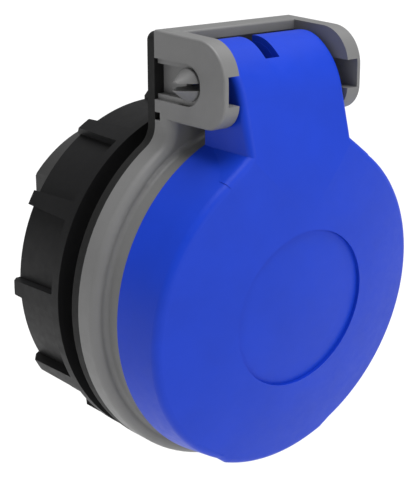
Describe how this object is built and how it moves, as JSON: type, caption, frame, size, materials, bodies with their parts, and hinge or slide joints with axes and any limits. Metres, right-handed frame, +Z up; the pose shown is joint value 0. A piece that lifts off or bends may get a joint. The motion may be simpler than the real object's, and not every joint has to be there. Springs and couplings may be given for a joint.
{
  "type": "panel mounted power socket",
  "caption": "Round panel mounted power socket with a flange, gasket and threaded barrel, a sprung hinged lid over the plug well, a lock nut and a rear terminal block.",
  "frame": {"origin": "on the socket's axis, in the plane of the flange gasket's rear face, which seats on the panel", "axes": "+Y along the socket's axis to the rear, through the panel; the lid looks towards -Y; +Z up, with the hinge on top; +X to the right of someone who faces the lid"},
  "size_m": [0.062, 0.0546, 0.0758],
  "materials": {
    "housing_plastic": "satin",
    "lid_plastic": "satin",
    "gasket_rubber": "matte",
    "nut_plastic": "satin",
    "block_plastic": "matte",
    "insert_plastic": "matte",
    "contact_brass": "satin",
    "spring_steel": "satin",
    "screw_steel": "satin"
  },
  "bodies": {
    "housing": {"front_housing": "housing_plastic", "hinge_pin": "housing_plastic", "flange_gasket": "gasket_rubber", "terminal_block": "block_plastic", "socket_insert": "insert_plastic", "lid_spring": "spring_steel", "line_contact": "contact_brass", "neutral_contact": "contact_brass", "line_contact_ring": "spring_steel", "neutral_contact_ring": "spring_steel", "line_terminal": "contact_brass", "neutral_terminal": "contact_brass", "earth_strap": "contact_brass", "earth_terminal": "contact_brass", "line_screw": "screw_steel", "neutral_screw": "screw_steel", "earth_screw": "screw_steel", "carrier_screw_upper": "screw_steel", "carrier_screw_lower": "screw_steel"},
    "lid": {"lid": "lid_plastic", "lid_gasket": "gasket_rubber"},
    "nut": {"lock_nut": "nut_plastic"}
  },
  "joints": [
    {"name": "lid_hinge", "type": "hinge", "parent": "housing", "child": "lid", "pos_m": [0, -0.0099, 0.037], "axis": [-1, 0, 0], "range_deg": [0, 100], "stiffness_Nm_per_rad": 0.03, "springref_deg": -60.16, "deforming": ["lid_spring"]},
    {"name": "lock_nut_travel", "type": "slide", "parent": "housing", "child": "nut", "axis": [0, -1, 0], "range_m": [0, 0.0033]}
  ]
}
